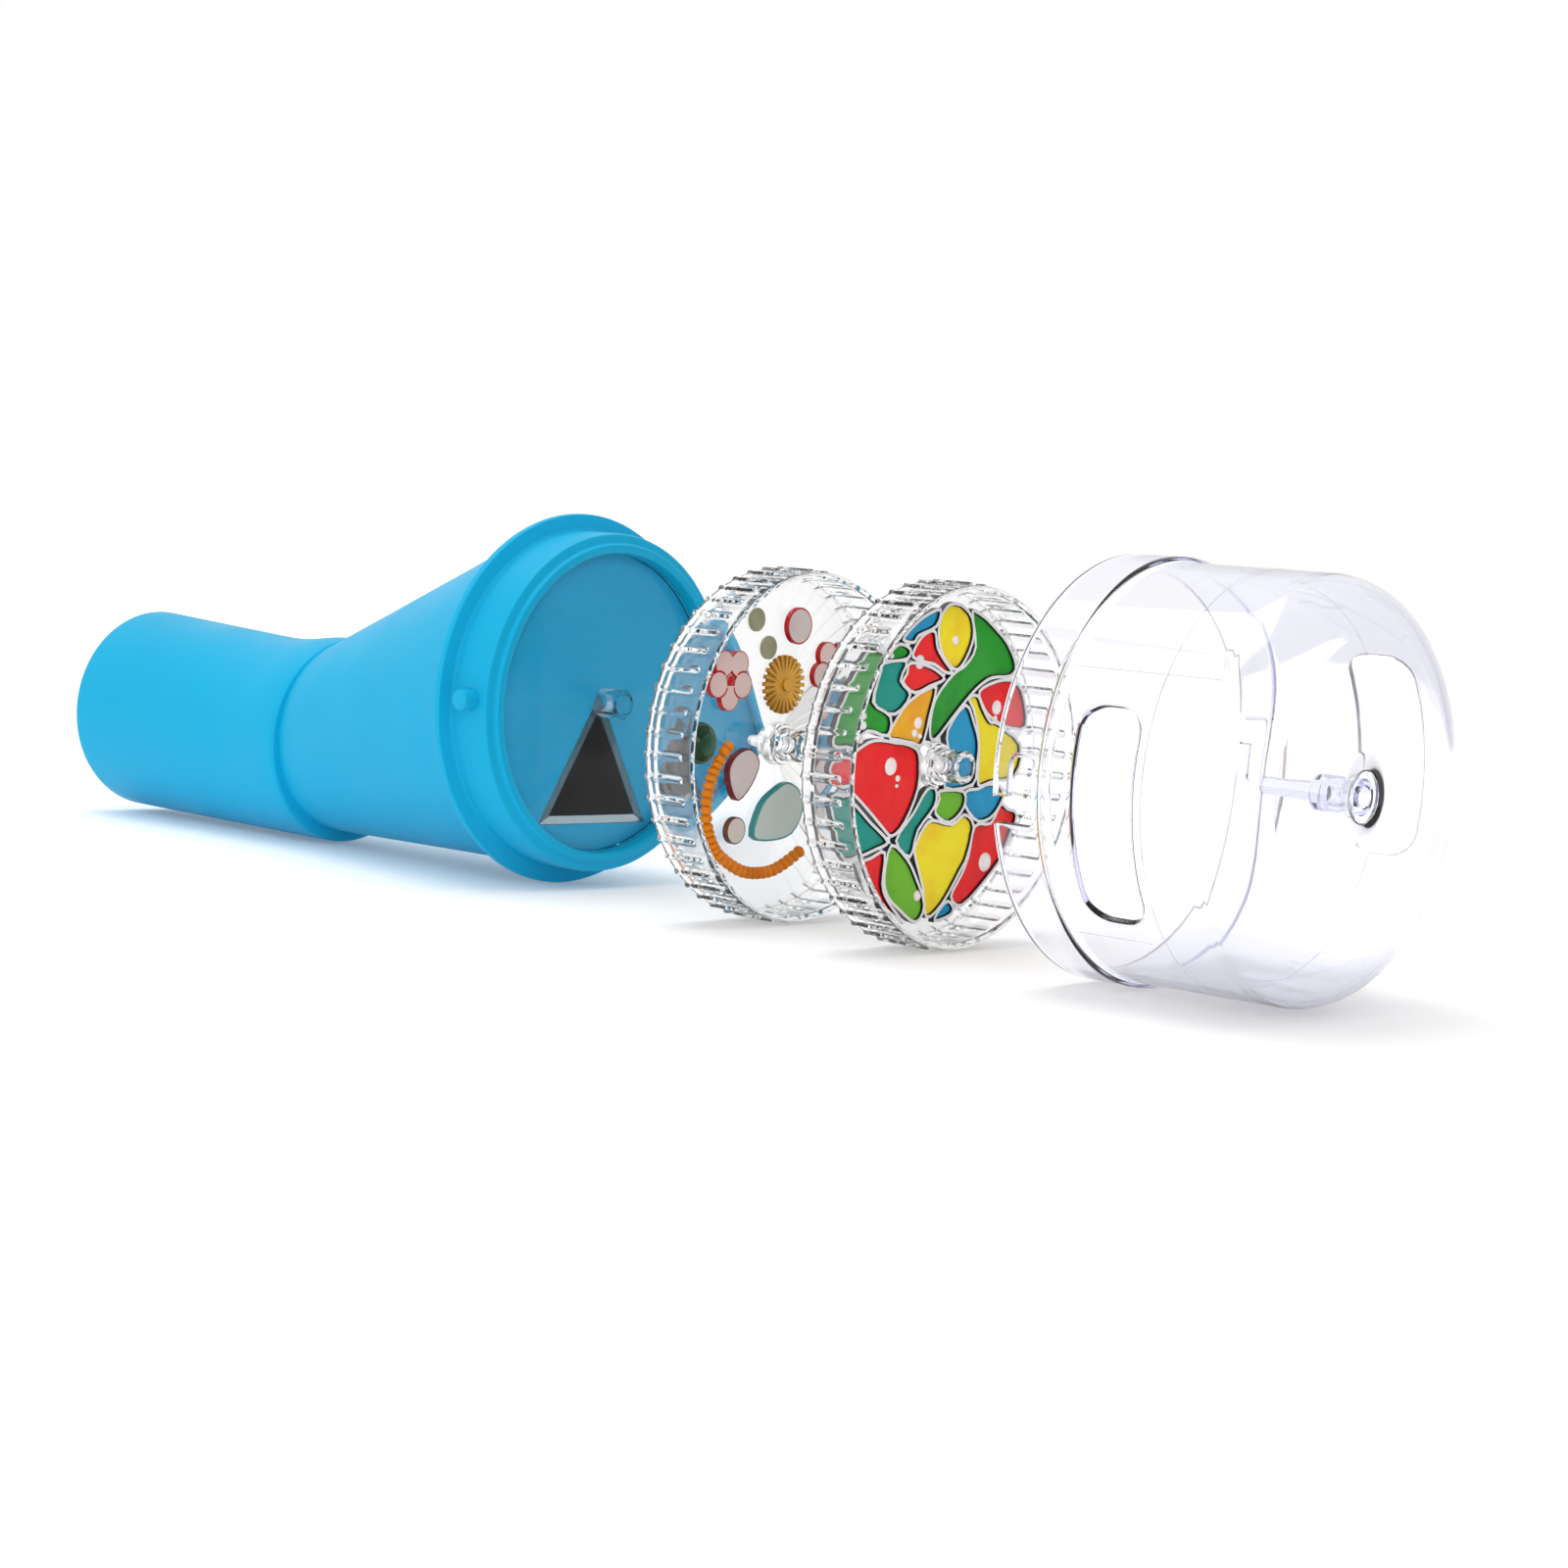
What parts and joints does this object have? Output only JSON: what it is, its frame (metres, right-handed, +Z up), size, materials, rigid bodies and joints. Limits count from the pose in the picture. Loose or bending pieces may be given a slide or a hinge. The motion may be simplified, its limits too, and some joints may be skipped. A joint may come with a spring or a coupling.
{
  "type": "kaleidoscope",
  "caption": "Toy kaleidoscope laid out in a row: blue flared body with a triangular mirror tunnel, turning clear wheels with a painted picture and trinkets, and a clear bayonet cap.",
  "frame": {"origin": "middle of the whole row, on the floor that the flange, the wheels and the cap stand on", "axes": "+X runs along the row from the eye end to the closed end of the cap, +Z is up"},
  "size_m": [0.3676, 0.086, 0.086],
  "materials": {
    "blue_plastic": "satin moulded plastic",
    "clear_plastic": "clear moulded plastic, polished",
    "mirror": "silvered plastic strip",
    "sleeve_card": "dark card",
    "flower_pink": "glossy",
    "daisy_gold": "translucent gold",
    "gem_green": "faceted",
    "bead_amber": "glossy",
    "sequin_olive": "iridescent",
    "sequin_red": "glossy",
    "petal_rose": "translucent",
    "teardrop_grey": "translucent",
    "gem_brown": "translucent",
    "outliner": "raised grey contour paste",
    "paint_red": "glossy glass paint",
    "paint_yellow": "glossy glass paint",
    "paint_orange": "glossy glass paint",
    "paint_green": "glossy glass paint",
    "paint_light_green": "glossy glass paint",
    "paint_teal": "glossy glass paint",
    "paint_blue": "glossy glass paint"
  },
  "bodies": {
    "body": {"housing": "blue_plastic", "front_bulkhead": "blue_plastic", "window_plate": "clear_plastic", "mirror_base": "mirror", "mirror_left": "mirror", "mirror_right": "mirror", "mirror_sleeve": "sleeve_card", "eyepiece": "blue_plastic", "eyepiece_window": "clear_plastic"},
    "spool_a": {"hub_a": "clear_plastic"},
    "wheel_a": {"wheel_a_dish": "clear_plastic", "flower_charms": "flower_pink", "daisy_charm": "daisy_gold", "green_gem": "gem_green", "bead_string": "bead_amber", "olive_sequins": "sequin_olive", "red_sequin": "sequin_red", "petal_gem": "petal_rose", "teardrop_gem": "teardrop_grey", "round_gem": "gem_brown"},
    "spool_b": {"hub_b": "clear_plastic"},
    "wheel_b": {"wheel_b_dish": "clear_plastic", "contour_lines": "outliner", "red_panes": "paint_red", "yellow_panes": "paint_yellow", "orange_panes": "paint_orange", "green_panes": "paint_green", "light_green_panes": "paint_light_green", "teal_panes": "paint_teal", "blue_panes": "paint_blue"},
    "pin": {"axle_pin": "clear_plastic"},
    "lid": {"cap": "clear_plastic"}
  },
  "joints": [
    {"name": "approach_a", "type": "slide", "parent": "body", "child": "spool_a", "axis": [0.9952, 0, -0.0974], "range_m": [-0.0431, 0]},
    {"name": "spin_a", "type": "hinge", "parent": "spool_a", "child": "wheel_a", "pos_m": [0.03805, 0, 0.0388], "axis": [1, 0, 0], "continuous": true},
    {"name": "stack_b", "type": "slide", "parent": "spool_a", "child": "spool_b", "axis": [1, 0, 0], "range_m": [-0.0303, 0]},
    {"name": "spin_b", "type": "hinge", "parent": "spool_b", "child": "wheel_b", "pos_m": [0.08185, 0, 0.0388], "axis": [1, 0, 0], "continuous": true},
    {"name": "close_cap", "type": "slide", "parent": "spool_b", "child": "pin", "axis": [0.9987, 0, 0.0508], "range_m": [-0.08261, 0]},
    {"name": "cap_twist", "type": "hinge", "parent": "pin", "child": "lid", "pos_m": [0.15805, 0, 0.043], "axis": [-1, 0, 0], "range_deg": [0, 10.2]}
  ]
}
